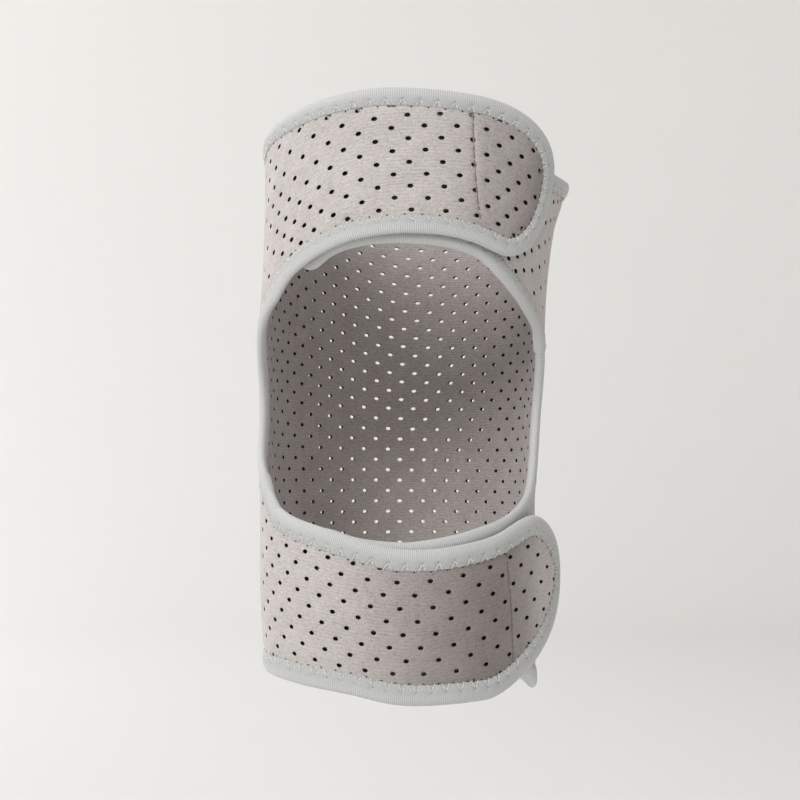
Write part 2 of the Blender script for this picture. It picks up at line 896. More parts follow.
@dataclass(frozen=True)
class SewingThread(Finish):
    """Spun polyester sewing thread, light grey: two plies that twist along its length."""

    colour: str = "#d9d9d6"
    shade: str = "#b4b4b1"
    ply_mm: float = 0.8
    relief_mm: float = 0.05

    def build(self) -> Material:
        """Builds it from slanted ply bands along the thread.

        Returns:
            The material.
        """
        material, tree, shader = self.start()
        plies = add_node(
            tree,
            "ShaderNodeTexWave",
            {"wave_type": "BANDS", "bands_direction": "DIAGONAL"},
            Vector=on_cut(tree, self.ply_mm, self.ply_mm),
            Scale=WAVE_SCALE,
            Distortion=0.4,
        )
        stops = ((0.0, self.shade), (0.6, self.colour))
        self.pattern(tree, shader, plies.outputs["Fac"], stops)
        return material


@dataclass(frozen=True)
class StudioPaint(Finish):
    """Matt white emulsion, rolled, of the floor and backdrop."""

    colour: str = "#e9e8e6"
    roller_mm: float = 3.0
    relief_mm: float = 0.02

    def build(self) -> Material:
        """Builds it with a very slight roller texture.

        Returns:
            The material.
        """
        material, tree, shader = self.start()
        place = add_node(tree, "ShaderNodeTexCoord").outputs["Object"]
        roller = add_node(tree, "ShaderNodeTexNoise", Vector=place, Scale=1 / (self.roller_mm * MM), Detail=2.0)
        shader.inputs["Base Color"].default_value = linear(self.colour)
        self.relief(tree, shader, roller.outputs["Fac"])
        return material


@dataclass
class MeshPiece:
    """A mesh in the making: points in millimetres, faces, a flat place for each point, and materials."""

    name: str
    points: Array
    faces: Array
    flat: Array
    materials: list[Material]
    face_material: Array | None = None
    nap: Array | None = None
    crease: float = 40.0

    def build(self, node: str, slot: str) -> Piece:
        """Makes the Blender object, which rides on the part and stands for a node of it.

        Args:
            node: the CAD node that it stands for.
            slot: the record's material slot.

        Returns:
            The new object, at the origin.
        """
        mesh = bpy.data.meshes.new(self.name)
        mesh.from_pydata(self.points * MM, [], self.faces.tolist())
        for material in self.materials:
            mesh.materials.append(material)
        if self.face_material is not None:
            mesh.polygons.foreach_set("material_index", self.face_material.astype(np.int32))
        corner = np.empty(len(mesh.loops), np.int32)
        mesh.loops.foreach_get("vertex_index", corner)
        places = (self.flat[corner] * MM).astype(np.float32)
        mesh.uv_layers.new(name="cut").data.foreach_set("uv", places.ravel())
        if self.nap is not None:
            mesh.attributes.new("nap", "FLOAT", "POINT").data.foreach_set("value", self.nap.astype(np.float32))
        mesh.polygons.foreach_set("use_smooth", np.ones(len(mesh.polygons), bool))
        mesh.set_sharp_from_angle(angle=math.radians(self.crease))
        mesh.validate()
        mesh.update()
        piece = bpy.data.objects.new(self.name, mesh)
        bpy.context.scene.collection.objects.link(piece)
        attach(piece, CAD_BODY)
        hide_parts(node)
        log.info("%s: %d faces for node %s", self.name, len(mesh.polygons), node)
        return piece


@dataclass(frozen=True)
class TabSeam:
    """The straight seam across a tab, as (angle, height) from its outer end to its inner end."""

    start: Row
    end: Row
    bow: float
    near_steps: int = 60

    def line(self, steps: int) -> Array:
        """The seam's chord, bowed sideways by the parabola 4t(1 - t).

        Args:
            steps: places along it.

        Returns:
            Flat places.
        """
        ends = CUT.flat(np.array([self.start[0], self.end[0]]), np.array([self.start[1], self.end[1]]))
        t = np.linspace(0, 1, steps)[:, None]
        chord = ends[1] - ends[0]
        square = np.array([chord[1], -chord[0]]) / np.linalg.norm(chord)
        return ends[0] + chord * t + square * self.bow * 4 * t * (1 - t)

    def distance(self, places: Array) -> Array:
        """The distance of flat places from the seam."""
        return to_nearest(places, self.line(self.near_steps))


TAB_SEAMS = (
    TabSeam(start=(197.4, 103.8), end=(204.2, 65.5), bow=0.5),
    TabSeam(start=(222.3, -60.8), end=(225.4, -105.0), bow=-0.5),
)


@dataclass
class WrapSheet:
    """The perforated sheet: a flat mesh of its cut, laid on the form as an outer and an inner face."""

    finish: BrushedKnit = BrushedKnit("brushed_loop_knit", 0.95, sheen=0.25, sheen_colour="#f1ecea")
    lining: BrushedKnit = BrushedKnit(
        "plain_knit_lining", 0.95, sheen=0.2, light="#b8b1ae", middle="#a8a09d", dark="#938b88"
    )
    core: FoamCore = FoamCore("cut_foam_rubber", 0.9)
    # half length of a hole along the knit and half width across it, drawn out by the stretch of the wrap
    hole_along: float = 1.12
    hole_across: float = 0.8
    hole_sides: int = 12
    # how wide and how deep the cloth turns in at a hole, and the lining's share of that depth
    dimple_width: float = 0.75
    dimple: float = 0.28
    lining_dimple: float = 0.5
    # the pinch along the binding's stitching, how it eases under the tape and dies away beside it, and the lining's
    # share of it
    stitch_inset: float = 6.6
    stitch_pinch: float = 0.6
    pinch_width: float = 2.6
    tape_ease: float = 0.35
    tape_ease_width: float = 5.0
    lining_pinch: float = 0.45
    # how much narrower the stitching runs on the upper band, and the heights between which it changes
    upper_draw: float = 0.19
    draw_heights: Row = (-20.0, 20.0)
    seam_groove: float = 0.75
    groove_width: float = 0.6
    # the points of the mesh: a grid, rows beside the binding and the seams, and how far these keep apart
    grid: float = 3.6
    border_step: int = 4
    pinch_rows: Row = (3.0, 5.4, 6.8, 8.2, 9.8, 11.6)
    pinch_row_step: int = 3
    pinch_row_slack: float = 0.5
    pinch_row_clear: float = 1.4
    seam_rows: Row = (-2.6, -1.4, -0.7, -0.3, 0.0, 0.3, 0.7, 1.4, 2.6)
    seam_steps: int = 40
    seam_clear: float = 3.4
    hole_clear: float = 0.45
    merge: float = 1e-6
    # angle, and how light the nap lies there, on each band
    upper_nap: Table = ((170, 1), (185, 1), (197, 0.86), (204, 0.65), (217, 0.52), (227, 0.28), (233, 0.25))
    lower_nap: Table = (
        (120, 1), (145, 1), (160, 0.88), (172, 0.67), (190, 0.37), (213, 0.16),
        (224, 0.25), (233, 0.52), (240, 0.9), (246, 1), (255, 1),
    )

    def _rings(self, wider: float) -> Array:
        """Ovals of points round every hole, hole by hole, along the knit.

        Args:
            wider: millimetres by which they are larger than the hole on each side.

        Returns:
            Flat places.
        """
        turn = np.arange(self.hole_sides) * math.tau / self.hole_sides
        along, across = (self.hole_along + wider) * np.cos(turn), (self.hole_across + wider) * np.sin(turn)
        lie = CUT.slope(CUT.holes)[:, None]
        x = along * np.cos(lie) - across * np.sin(lie)
        y = along * np.sin(lie) + across * np.cos(lie)
        return (CUT.holes[:, None, :] + np.stack([x, y], axis=2)).reshape(-1, 2)

    def _beside_binding(self) -> Array:
        """Rows of points along the cut edge, left out where another stretch of the edge is nearer.

        Returns:
            Flat places.
        """
        rows = []
        for i, inset in enumerate(self.pinch_rows):
            row = (CUT.edge + CUT.edge_normal * inset)[i % self.pinch_row_step :: self.pinch_row_step]
            fits = np.abs(CUT.inset(row) - inset) < self.pinch_row_slack
            rows.append(row[fits & CUT.inside(row)])
        return np.vstack(rows)

    def _beside_seams(self) -> Array:
        """Rows of points along the tab seams.

        Returns:
            Flat places.
        """
        rows = []
        for seam in TAB_SEAMS:
            line = seam.line(self.seam_steps)
            course = unit(np.gradient(line, axis=0))
            square = np.column_stack([course[:, 1], -course[:, 0]])
            rows += [line + square * offset for offset in self.seam_rows]
        return np.vstack(rows)

    def _filling(self) -> Array:
        """Points between the holes: a staggered grid, the rows beside the binding and those beside the tab seams.

        Returns:
            Flat places.
        """
        low, high = CUT.edge.min(axis=0), CUT.edge.max(axis=0)
        xs = np.arange(low[0], high[0], self.grid)
        ys = np.arange(low[1], high[1], self.grid * math.sqrt(3) / 2)
        x, y = np.meshgrid(xs, ys)
        x = x + (np.arange(len(ys)) % 2)[:, None] * self.grid / 2
        grid = np.column_stack([x.ravel(), y.ravel()])
        grid = grid[CUT.inside(grid)]
        grid = grid[CUT.inset(grid) > self.pinch_rows[-1] + self.pinch_row_clear]
        grid = grid[np.min([seam.distance(grid) for seam in TAB_SEAMS], axis=0) > self.seam_clear]
        points = np.vstack([grid, self._beside_binding(), self._beside_seams()])
        return points[to_nearest(points, CUT.holes) > self.hole_along + self.dimple_width + self.hole_clear]

    def _triangles(self) -> tuple[Array, Array, Array]:
        """The flat mesh, by a Delaunay triangulation that keeps the cut edge and the holes' rims.

        Returns:
            Flat places, triangles, and for each place the number of the hole whose rim it is on, or -1.
        """
        border, rims, slopes = CUT.edge[:: self.border_step], self._rings(0.0), self._rings(self.dimple_width)
        places = np.vstack([border, rims, slopes, self._filling()])
        count = len(border)
        round_cut = np.column_stack([np.arange(count), np.roll(np.arange(count), -1)])
        rim = np.arange(len(rims)).reshape(-1, self.hole_sides) + count
        round_holes = np.stack([rim, np.roll(rim, -1, axis=1)], axis=2).reshape(-1, 2)
        edges = np.vstack([round_cut, round_holes]).tolist()
        made = delaunay_2d_cdt([Vector(p) for p in places], edges, [], 1, self.merge, True)
        flat = np.array([tuple(p) for p in made[0]])
        faces = np.array(made[2])
        origin = np.array([ids[0] if ids else -1 for ids in made[3]])
        of_hole = np.full(len(flat), -1)
        on_rim = (origin >= count) & (origin < count + len(rims))
        of_hole[on_rim] = (origin[on_rim] - count) // self.hole_sides
        corner = of_hole[faces]
        in_hole = (corner[:, 0] >= 0) & (corner[:, 0] == corner[:, 1]) & (corner[:, 1] == corner[:, 2])
        kept = CUT.inside(flat[faces].mean(axis=1)) & ~in_hole
        return flat, faces[kept], of_hole

    def _depths(self, flat: Array, of_hole: Array) -> tuple[Array, Array]:
        """The sheet's two faces, pinched along the binding's stitching by a bell curve, grooved by one along the tab
        seams and turned in a little at the holes.

        Args:
            flat: flat places.
            of_hole: the number of the hole whose rim each is on, or -1.

        Returns:
            The outer and the inner depth of each place.
        """
        inset = CUT.inset(flat)
        stitch = self.stitch_inset * (1 - self.upper_draw * smoothstep(flat[:, 1], *self.draw_heights))
        under_tape = 1 - self.tape_ease * smoothstep(stitch - inset, 0, self.tape_ease_width)
        pinch = self.stitch_pinch * np.where(inset < stitch, under_tape, bell(inset, stitch, self.pinch_width))
        grooves = [bell(seam.distance(flat), 0, self.groove_width) for seam in TAB_SEAMS]
        turned_in = self.dimple * (of_hole >= 0)
        outer = FORM.sheet - pinch - self.seam_groove * np.max(grooves, axis=0) - turned_in
        return outer, self.lining_pinch * pinch + self.lining_dimple * turned_in

    def _nap(self, flat: Array) -> Array:
        """How the nap lies: brushed the dark way on the upper tab and on the front of the lower band.

        Args:
            flat: flat places.

        Returns:
            1 where it looks light, down to 0 where it looks dark.
        """
        angle = CUT.angle(flat)
        upper, lower = (read_table(table, 1, angle) for table in (self.upper_nap, self.lower_nap))
        return np.clip(np.where(flat[:, 1] > 0, upper, lower), 0, 1)

    def build(self) -> Piece:
        """Builds the sheet as one closed mesh: two faces, the rim of the cut and the walls of the holes.

        Returns:
            The new object.
        """
        flat, faces, of_hole = self._triangles()
        outer, inner = self._depths(flat, of_hole)
        angle = CUT.angle(flat)
        count = len(flat)
        a, b, c = faces.T
        sides = np.vstack([np.column_stack(pair) for pair in ((a, b), (b, c), (c, a))])
        key, back = sides @ [count, 1], sides @ [1, count]
        free = sides[~np.isin(key, back)]
        walls = halves(np.column_stack([free[:, 1], free[:, 0], free[:, 0] + count, free[:, 1] + count]))
        grain = CUT.grain(flat)
        piece = MeshPiece(
            "wrap_sheet_knit",
            np.vstack([FORM.place(angle, flat[:, 1], outer), FORM.place(angle, flat[:, 1], inner)]),
            np.vstack([faces, faces[:, ::-1] + count, walls]),
            np.vstack([grain, grain]),
            [self.finish.build(), self.lining.build(), self.core.build()],
            np.repeat([0, 1, 2], [len(faces), len(faces), len(walls)]),
            nap=np.concatenate([self._nap(flat), np.ones(count)]),
            crease=55.0,
        )
        return piece.build("wrap_sheet", "laminate")


class Run(Enum):
    """The two runs of binding tape."""

    UPPER = "upper"
    LOWER = "lower"

    @property
    def node(self) -> str:
        """The CAD node of the run."""
        return f"binding_{self.value}"


@dataclass(frozen=True)
class Zigzag:
    """The stitch of the binding: a run along the cloth beside the tape, and a narrow V on to the tape at every
    pitch."""

    pitch: float = 6.2
    foot: float = 8.0
    reach: float = 3.8
    half_width: float = 1.9

    @property
    def tip(self) -> float:
        """The distance of the needle points from the edge."""
        return self.foot - self.reach

    def phase(self, along: Array) -> Array:
        """Millimetres along the edge from the nearest needle point on the tape."""
        return (np.mod(along / self.pitch, 1.0) - 0.5) * self.pitch

    def inset(self, along: Array) -> Array:
        """The thread's distance from the edge."""
        return self.foot - self.reach * np.clip(1 - np.abs(self.phase(along)) / self.half_width, 0, 1)


ZIGZAG = Zigzag()


@dataclass(frozen=True)
class BindingTape:
    """Stretch tape folded over the sheet's edge, in two runs that lap at the sides of the opening."""

    finish: RibbedTape = RibbedTape("ribbed_stretch_tape", 0.8, sheen=0.2, sheen_colour="#f4f6f5")
    # the section: its width, the narrower one that shows on the upper run, its thickness and its fold
    face: float = 7.0
    upper_face: float = 5.7
    thick: float = 0.8
    overhang: float = 1.0
    fold_start: float = 2.2
    fold_steps: int = 11
    face_insets: Row = (6.9, 6.5, 6.0, 5.5, 5.0, 4.5, 4.0, 3.4, 2.6)
    lining_insets: Row = (2.6, 4.2, 5.8, 6.9)
    # the section's inside: how far it keeps from the tape's edge and from the fold, where it bends, and its share of
    # the sheet's thickness
    inside_gap: float = 0.1
    inside_bend: float = 4.0
    inside_fold: float = 0.6
    inside_share: float = 0.62
    # the joints: their heights, the angles that the opening's sides lie between, and how the tape laps there
    right_joint: float = 24.0
    left_joint: float = -35.0
    side_angle: float = 108.0
    side_reach: float = 25.0
    lap: float = 4.5
    lap_lift: float = 0.6
    lap_ease: Row = (1.2, 2.4)
    lap_spread: float = 0.3
    # how the stitch shapes the face: each depth, then the places and widths of its bell curves
    pinch: float = 0.95
    pinch_inset: float = 6.7
    pinch_width: float = 1.8
    furrow: float = 0.3
    furrow_width: float = 0.6
    furrow_past: float = 0.2
    pit: float = 0.5
    pit_along: float = 0.75
    pit_across: float = 0.6
    pillow: float = 0.4
    pillow_gap: float = 1.3
    pillow_inset: float = 5.6
    pillow_width: float = 1.1
    scallop: float = 0.1
    scallop_width: float = 0.7
    # how far the tape's cut edge turns down, and how the stitch draws up the lining side
    edge_drop: float = 0.7
    lining_draw: float = 0.3
    lining_draw_width: float = 3.0
    lining_depth: float = 0.5

    def _joint_step(self, height: float, layer: Layer) -> int:
        """The step of the cut edge at a joint.

        Args:
            height: the joint's height.
            layer: the layer of the wings on its side of the opening.

        Returns:
            The number of the step.
        """
        beside = np.abs(np.abs(CUT.angle(CUT.edge)) - self.side_angle) < self.side_reach
        beside &= CUT.edge[:, 0] * layer.value > 0
        return int(np.argmin(np.where(beside, np.abs(CUT.edge[:, 1] - height), np.inf)))

    def steps(self, run: Run) -> Array:
        """The steps of the cut edge that a run covers, with its laps.

        Args:
            run: which run.

        Returns:
            Numbers of steps, in order.
        """
        count = len(CUT.edge)
        right = self._joint_step(self.right_joint, Layer.UNDER)
        left = self._joint_step(self.left_joint, Layer.OVER)
        lap = int(self.lap / CUT.edge_step)
        first, last = (right, left) if run is Run.UPPER else (left, right)
        return (first - lap + np.arange((last - first) % count + 2 * lap)) % count

    def along(self, run: Run) -> Array:
        """Millimetres along a run's edge at each of its steps."""
        return np.arange(len(self.steps(run))) * CUT.edge_step

    def lift(self, run: Run) -> Array:
        """How far a run's start rides over the end of the other run."""
        start, end = self.lap_ease
        return self.lap_lift * (1 - smoothstep(self.along(run), start * self.lap, end * self.lap))

    def drawn_in(self, run: Run, inset: Array) -> Array:
        """Insets for the common face width, drawn in to the width that shows on a run."""
        width = self.upper_face if run is Run.UPPER else self.face
        return np.where(inset > 0, inset * width / self.face, inset)

    def face_depth(self, along: Array, inset: Array) -> Array:
        """The tape's outer face: drawn down to the cloth along the stitch, furrowed under the thread, pitted at the
        needle points and pillowed between them, each by a bell curve.

        Args:
            along: millimetres along the run.
            inset: millimetres in from the cut edge.

        Returns:
            Depths out from the sheet's inner face.
        """
        phase = ZIGZAG.phase(along)
        drawn = self.pinch * bell(inset, self.pinch_inset, self.pinch_width)
        under_thread = bell(inset, ZIGZAG.inset(along), self.furrow_width)
        furrow = self.furrow * under_thread * (inset > ZIGZAG.tip - self.furrow_past)
        pit = self.pit * bell(phase, 0, self.pit_along) * bell(inset, ZIGZAG.tip, self.pit_across)
        between = 1 - bell(phase, 0, self.pillow_gap)
        pillow = self.pillow * between * bell(inset, self.pillow_inset, self.pillow_width)
        return FORM.sheet + self.thick - drawn - furrow - pit + pillow

    def _section(self) -> tuple[Array, Array, int, int]:
        """The folded section. Its skin runs in along the outer face, round the fold as half an oval, and back along
        the inner face. It then comes back inside.

        Returns:
            Insets, plain depths, and how many of its points are outer face and skin.
        """
        middle, half = FORM.sheet / 2, FORM.sheet / 2 + self.thick
        turn = np.linspace(0, math.pi, self.fold_steps)
        fold = self.fold_start - (self.fold_start + self.overhang) * np.sin(turn)
        skin_inset = np.concatenate([[self.face], self.face_insets, fold, self.lining_insets, [self.face]])
        faces, lining = len(self.face_insets) + 1, len(self.lining_insets) + 1
        skin_depth = np.concatenate(
            [np.full(faces, middle + half), middle + half * np.cos(turn), np.full(lining, middle - half)]
        )
        arm = [self.face - self.inside_gap, self.inside_bend, self.fold_start]
        inside_inset = np.array([*arm, self.inside_fold - self.overhang, *arm[::-1]])
        inside_depth = middle + self.inside_share * middle * np.array([-1, -1, -1, 0, 1, 1, 1])
        inset = np.concatenate([skin_inset, inside_inset])
        return inset, np.concatenate([skin_depth, inside_depth]), faces, len(skin_inset)

    def build(self, run: Run, material: Material) -> Piece:
        """Carries the section along the run's edge.

        Args:
            run: which run to build.
            material: the tape's finish.

        Returns:
            The new object.
        """
        steps, along, lift = self.steps(run), self.along(run)[:, None], self.lift(run)[:, None]
        inset, depth, faces, skin = self._section()
        scallop = bell(inset, self.face, self.scallop_width)
        wave = self.scallop * np.cos(math.tau * along / ZIGZAG.pitch) * scallop
        spread = self.drawn_in(run, inset + wave - self.lap_spread * lift)
        out = np.tile(depth, (len(steps), 1))
        out[:, :faces] = self.face_depth(along, inset[:faces])
        out[:, 0] -= self.edge_drop * self.thick
        rest = slice(skin - 2, None)
        drawn = bell(inset[rest], self.face, self.lining_draw_width) * (depth[rest] < self.lining_depth)
        out[:, rest] += self.lining_draw * self.pinch * drawn
        middle = FORM.sheet / 2
        out = out + lift * np.clip((depth - middle) / middle, -1, 1)
        place = CUT.edge[steps][:, None, :] + CUT.edge_normal[steps][:, None, :] * spread[:, :, None]
        flat = place.reshape(-1, 2)
        points = FORM.place(CUT.angle(flat), flat[:, 1], out.ravel())
        rings = np.arange(len(flat)).reshape(len(steps), -1)
        strip = path_length(np.column_stack([inset, depth]))
        uv = np.column_stack([np.repeat(along[:, 0], len(inset)), np.tile(strip, len(steps))])
        ends = self._end(rings[0], skin), self._end(rings[-1], skin)[:, ::-1]
        triangles = np.vstack([halves(quads(rings, closed=True)), *ends])
        piece = MeshPiece(f"binding_{run.value}_tape", points, triangles, uv, [material], crease=60.0)
        return piece.build(run.node, "stretch_tape")

    def _end(self, ring: Array, skin: int) -> Array:
        """Closes a cut end, between the section's skin and its inside.

        Args:
            ring: the point numbers of the section there.
            skin: how many of them are skin.

        Returns:
            Triangles.
        """
        outer, inner = ring[:skin], ring[skin:][::-1]
        match = np.round(np.linspace(0, len(inner) - 1, skin)).astype(int)
        across = np.column_stack([outer[1:], outer[:-1], inner[match[:-1]]])
        back = np.column_stack([outer[1:], inner[match[:-1]], inner[match[1:]]])
        return np.vstack([across, back[match[:-1] != match[1:]]])


BINDING = BindingTape()


@dataclass(frozen=True)
class Stitching:
    """Sewing thread as round tubes laid on the pieces, with the dark pits that the needle leaves."""

    thread: SewingThread = SewingThread("spun_polyester_thread", 0.7, sheen=0.2)
    dark_thread: SewingThread = SewingThread(
        "spun_polyester_thread_taupe", 0.8, colour="#8c827d", shade="#6f6762"
    )
    pits: FoamCore = FoamCore("needle_pits", 0.95, colour="#3b3937", shade="#2c2a29")
    radius: float = 0.36
    sides: int = 6
    step: float = 0.31
    end_gap: float = 1.0
    # how the thread lies: sunk in the cloth, then from one inset to the other up on the tape, dipping at the needle
    cloth_sink: float = 1.2
    cloth_inset: float = 7.5
    tape_inset: float = 6.8
    tape_sit: float = 0.3
    dip: float = 0.25
    dip_width: float = 0.4
    # the pits: a lens at each needle point on the tape, and a smaller one in the cloth between
    pit_radius: float = 0.62
    pit_sides: int = 8
    pit_top: float = 0.1
    pit_bottom: float = 0.3
    pit_past: float = 0.15
    pit_sit: float = 0.22
    cloth_pit_share: float = 0.65
    cloth_pit_past: float = 0.45
    cloth_pit_sink: float = 0.5
    # the tab seams: how deep the thread lies, and how it arches between its dips
    seam_pitch: float = 2.8
    seam_steps: int = 170
    seam_sink: float = 1.05
    seam_arch: float = 0.35
    seam_arch_power: float = 0.6

    def _frame(self, flat: Array, depth: Array) -> tuple[Array, Array]:
        """Lays places on the form.

        Args:
            flat: flat places.
            depth: their depths.

        Returns:
            Points, and the outward unit directions there.
        """
        angle = CUT.angle(flat)
        points = FORM.place(angle, flat[:, 1], depth)
        return points, unit(FORM.place(angle, flat[:, 1], depth + 1) - points)

    def _tube(self, flat: Array, depth: Array) -> tuple[Array, Array, Array]:
        """A closed tube along a path: circles square to the path, and a point at each end.

        Args:
            flat: the path's flat places.
            depth: the depths of its middle line.

        Returns:
            Points, triangles, and a UV along and round the tube in millimetres.
        """
        middle, out = self._frame(flat, depth)
        across = np.cross(unit(np.gradient(middle, axis=0)), out)
        turn = np.arange(self.sides) * math.tau / self.sides
        circle = out[:, None, :] * np.cos(turn)[:, None] + across[:, None, :] * np.sin(turn)[:, None]
        skin = (middle[:, None, :] + self.radius * circle).reshape(-1, 3)
        points = np.vstack([skin, middle[:1], middle[-1:]])
        rings = np.arange(len(skin)).reshape(len(middle), self.sides)
        first, last = np.full(self.sides, len(skin)), np.full(self.sides, len(skin) + 1)
        beside = np.roll(np.arange(self.sides), -1)
        caps = (
            np.column_stack([first, rings[0], rings[0][beside]]),
            np.column_stack([last, rings[-1][beside], rings[-1]]),
        )
        triangles = np.vstack([halves(quads(rings, closed=True)[:, ::-1]), *caps])
        run = path_length(middle)
        uv = np.column_stack([np.repeat(run, self.sides), np.tile(turn * self.radius, len(middle))])
        return points, triangles, np.vstack([uv, uv[:1], uv[-1:]])

    def _lenses(self, flat: Array, depth: Array, radius: Array) -> tuple[Array, Array]:
        """Small closed lenses at needle points: a ring, a point above it and a point below it.

        Args:
            flat: flat places of their middles.
            depth: the depths of their rings.
            radius: the radii of their rings.

        Returns:
            Points and triangles.
        """
        middle, out = self._frame(flat, depth)
        side = unit(np.cross(out, np.array([0.0, 0.0, 1.0])))
        up = np.cross(side, out)
        sides = self.pit_sides
        turn = np.arange(sides) * math.tau / sides
        circle = side[:, None, :] * np.cos(turn)[:, None] + up[:, None, :] * np.sin(turn)[:, None]
        ring = middle[:, None] + radius[:, None, None] * circle
        top, bottom = (middle + self.pit_top * out)[:, None], (middle - self.pit_bottom * out)[:, None]
        points = np.concatenate([ring, top, bottom], axis=1)
        here, beside = np.arange(sides), np.roll(np.arange(sides), -1)
        above, below = np.full(sides, sides), np.full(sides, sides + 1)
        one = np.vstack([np.column_stack([here, above, beside]), np.column_stack([beside, below, here])])
        first = points.shape[1] * np.arange(len(flat))
        return points.reshape(-1, 3), (one[None] + first[:, None, None]).reshape(-1, 3)

    def _on_edge(self, run: Run, along: Array, inset: Array) -> Array:
        """Places beside a run's edge.

        Args:
            run: which run.
            along: distances along its edge.
            inset: distances in from its edge.

        Returns:
            Flat places.
        """
        steps, known = BINDING.steps(run), BINDING.along(run)
        columns = (*CUT.edge[steps].T, *CUT.edge_normal[steps].T)
        x, y, normal_x, normal_y = (np.interp(along, known, values) for values in columns)
        inset = BINDING.drawn_in(run, inset)
        return np.column_stack([x + normal_x * inset, y + normal_y * inset])

    def _needle_pits(self, run: Run, end: float) -> tuple[Array, Array]:
        """The pits of one run: at the needle points on the tape, and between them in the cloth.

        Args:
            run: which run.
            end: where the stitching ends.

        Returns:
            Points and triangles.
        """
        needle = np.arange(ZIGZAG.pitch / 2, end, ZIGZAG.pitch)
        between = np.arange(ZIGZAG.pitch, end, ZIGZAG.pitch)
        tips = np.full(len(needle), ZIGZAG.tip - self.pit_past)
        feet = np.full(len(between), BINDING.face + self.cloth_pit_past)
        lift = np.interp(needle, BINDING.along(run), BINDING.lift(run))
        on_tape = BINDING.face_depth(needle, tips) + lift + self.pit_sit
        in_cloth = np.full(len(between), FORM.sheet - self.cloth_pit_sink)
        radii = np.repeat([1, self.cloth_pit_share], [len(needle), len(between)]) * self.pit_radius
        flat = np.vstack([self._on_edge(run, needle, tips), self._on_edge(run, between, feet)])
        return self._lenses(flat, np.concatenate([on_tape, in_cloth]), radii)

    def zigzag(self, run: Run, materials: list[Material]) -> Piece:
        """The stitching of one run of binding, with its pits.

        Args:
            run: which run.
            materials: the finishes of the thread and of the pits.

        Returns:
            The new object.
        """
        end = BINDING.along(run)[-1] - self.end_gap
        along = np.arange(self.end_gap, end, self.step)
        inset = ZIGZAG.inset(along)
        lift = np.interp(along, BINDING.along(run), BINDING.lift(run))
        on_tape = smoothstep(-inset, -self.cloth_inset, -self.tape_inset)
        cloth = FORM.sheet - self.cloth_sink
        dip = self.dip * bell(ZIGZAG.phase(along), 0, self.dip_width)
        depth = cloth + on_tape * (BINDING.face_depth(along, inset) + self.tape_sit - cloth) + lift - dip
        points, faces, uv = self._tube(self._on_edge(run, along, inset), depth)
        pit_points, pit_faces = self._needle_pits(run, end)
        piece = MeshPiece(
            f"zigzag_{run.value}",
            np.vstack([points, pit_points]),
            np.vstack([faces, pit_faces + len(points)]),
            np.vstack([uv, np.zeros((len(pit_points), 2))]),
            materials,
            np.repeat([0, 1], [len(faces), len(pit_faces)]),
        )
        return piece.build(run.node, "stretch_tape")

    def tab_seam(self, seam: TabSeam, name: str, material: Material) -> Piece:
        """The straight seam across a tab: thread that dips under the cloth at every pitch, as |sin|^p.

        Args:
            seam: the seam's line.
            name: the piece's name.
            material: the thread's finish.

        Returns:
            The new object.
        """
        flat = seam.line(self.seam_steps)
        arch = np.abs(np.sin(math.pi * path_length(flat) / self.seam_pitch)) ** self.seam_arch_power
        points, faces, uv = self._tube(flat, FORM.sheet - self.seam_sink + self.seam_arch * arch)
        return MeshPiece(name, points, faces, uv, [material]).build("wrap_sheet", "laminate")


@dataclass(frozen=True)
class HookPatch:
    """A plain patch of hook tape sewn under a tab, hidden against the wing that it holds to."""

    run: Run
    wing: Wing
    start: float
    end: float
    margin: float = 12.0
    gap: float = 0.5
    thick: float = 1.0
    columns: int = 22
    rows: int = 40

    def build(self, material: Material) -> Piece:
        """Builds the patch as a closed slab on a grid of angle and height.

        Args:
            material: the hook tape's finish.

        Returns:
            The new object.
        """
        angle = np.linspace(self.start, self.end, self.columns)
        ends = [self.wing.heights(edge, angle) for edge in (self.wing.inner, self.wing.outer)]
        low, high = np.minimum(*ends) + self.margin, np.maximum(*ends) - self.margin
        share = np.linspace(0, 1, self.rows)[:, None]
        flat = CUT.flat(np.tile(angle, self.rows), (low + (high - low) * share).ravel())
        count = len(flat)
        grid = np.arange(count).reshape(self.rows, self.columns)
        top = quads(grid, closed=False)
        rim = np.concatenate([grid[0], grid[1:, -1], grid[-1, -2::-1], grid[-2:0:-1, 0]])
        beside = np.roll(rim, -1)
        walls = np.column_stack([beside, rim, rim + count, beside + count])
        depth = np.repeat([-self.gap, -self.gap - self.thick], count)
        both = np.vstack([flat, flat])
        points = FORM.place(CUT.angle(both), both[:, 1], depth)
        faces = np.vstack([top, top[:, ::-1] + count, walls])
        piece = MeshPiece(f"hook_patch_{self.run.value}_tape", points, faces, both, [material])
        return piece.build(f"hook_patch_{self.run.value}", "hook_tape")


HOOK_PATCHES = (
    HookPatch(Run.UPPER, UPPER_LEFT, start=201, end=219),
    HookPatch(Run.LOWER, LOWER_LEFT, start=226, end=244),
)


@dataclass(frozen=True)
class SoftLight:
    """A round soft white light that the camera doesn't see: its place, aim and size in metres, and its power."""

    name: str
    place: Row
    aim: Row
    size: float
    watts: float

    def build(self) -> None:
        """Sets the light up, turned to its aim."""
        lamp = bpy.data.lights.new(self.name, "AREA")
        lamp.shape = "DISK"
        lamp.size = self.size
        lamp.energy = self.watts
        holder = bpy.data.objects.new(self.name, lamp)
        holder.location = self.place
        holder.rotation_euler = (Vector(self.aim) - Vector(self.place)).to_track_quat("-Z", "Y").to_euler()
        holder.visible_camera = False
        bpy.context.scene.collection.objects.link(holder)


